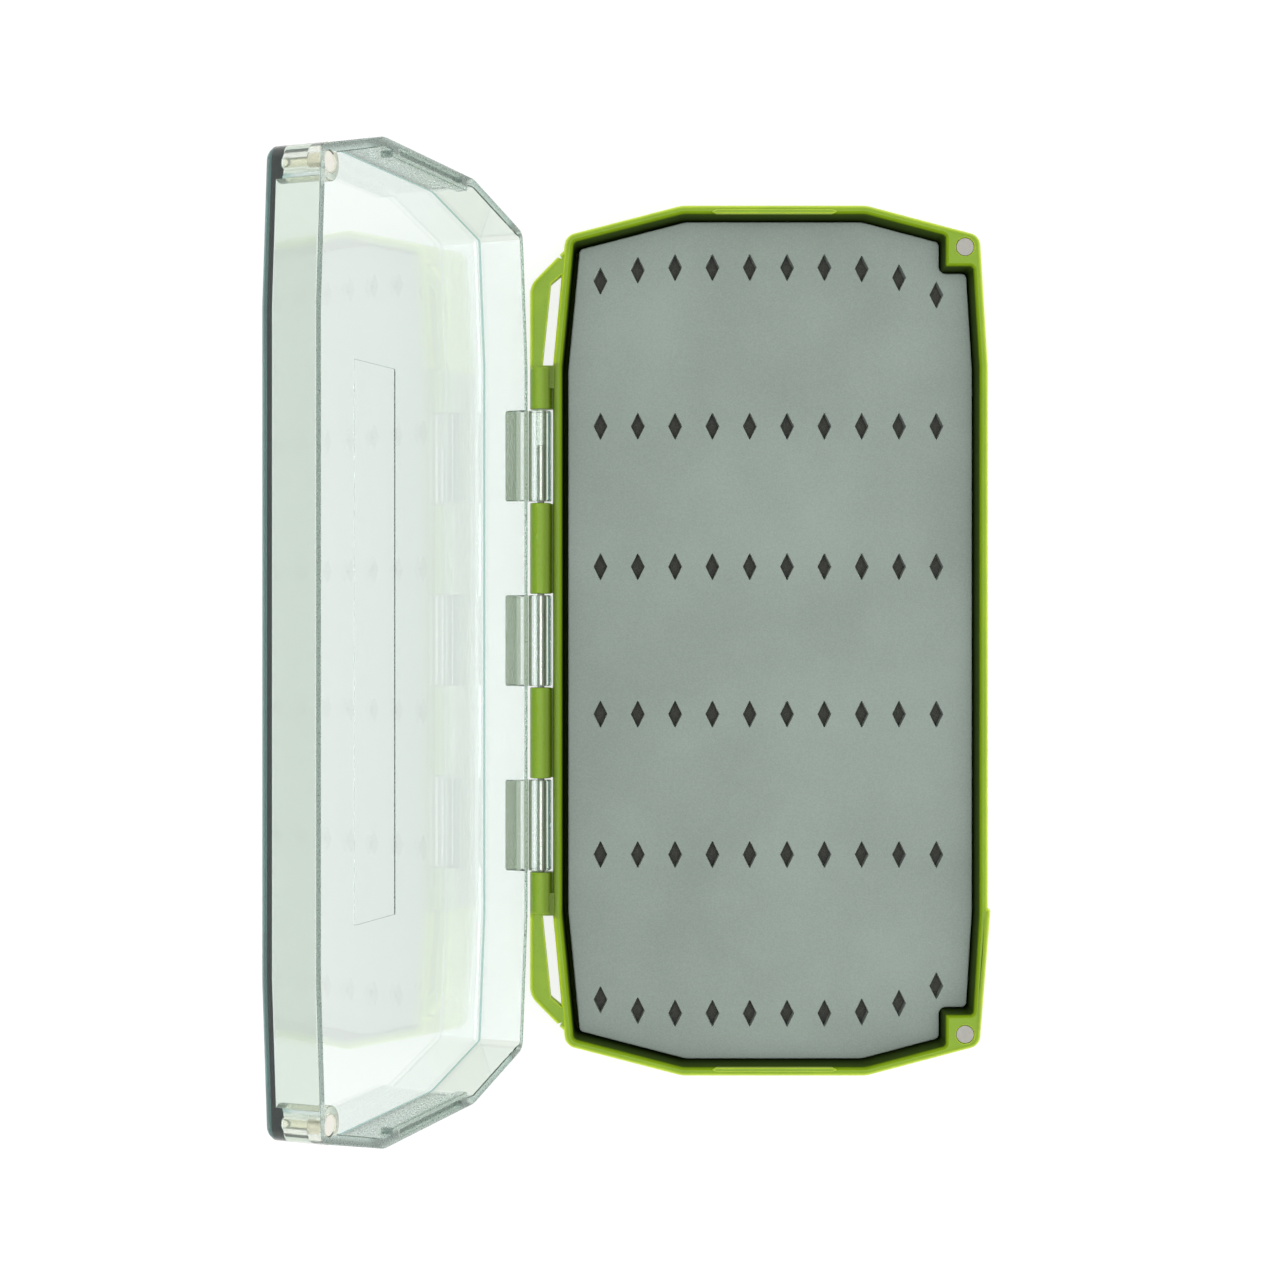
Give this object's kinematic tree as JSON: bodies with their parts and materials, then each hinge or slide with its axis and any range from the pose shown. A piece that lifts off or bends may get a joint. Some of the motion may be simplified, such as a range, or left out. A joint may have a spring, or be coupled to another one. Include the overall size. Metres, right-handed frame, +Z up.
{
  "type": "fly box",
  "caption": "Slim open fly box: twelve-sided tray with a slotted silicone pad, and a clear hinged lid held shut by corner magnets.",
  "frame": {"origin": "centre of the tray's flat underside, on the centre lines of the case without its hinge rail", "axes": "+Z up out of the tray, +Y along the length of the case, -X towards the hinge and +X towards the side that opens"},
  "size_m": [0.1499, 0.1968, 0.1081],
  "materials": {
    "green_polycarbonate": "moulded, satin gloss, slightly translucent",
    "clear_polycarbonate": "moulded, polished, pale smoke tint",
    "pin_steel": "drawn wire",
    "grey_silicone": "satin",
    "black_foam": "closed-cell foam, matt",
    "nickel_magnet": "nickel plated, satin"
  },
  "bodies": {
    "tray": {"base_tray": "green_polycarbonate", "hinge_pin": "pin_steel", "silicone_sheet": "grey_silicone", "foam_backing": "black_foam", "base_magnet_upper": "nickel_magnet", "base_magnet_lower": "nickel_magnet"},
    "lid": {"lid_shell": "clear_polycarbonate", "lid_magnet_upper": "nickel_magnet", "lid_magnet_lower": "nickel_magnet"}
  },
  "joints": [
    {"name": "lid_hinge", "type": "hinge", "parent": "tray", "child": "lid", "pos_m": [-0.05195, 0, 0.0142], "axis": [0, -1, 0], "range_deg": [-110.5, 0]}
  ]
}
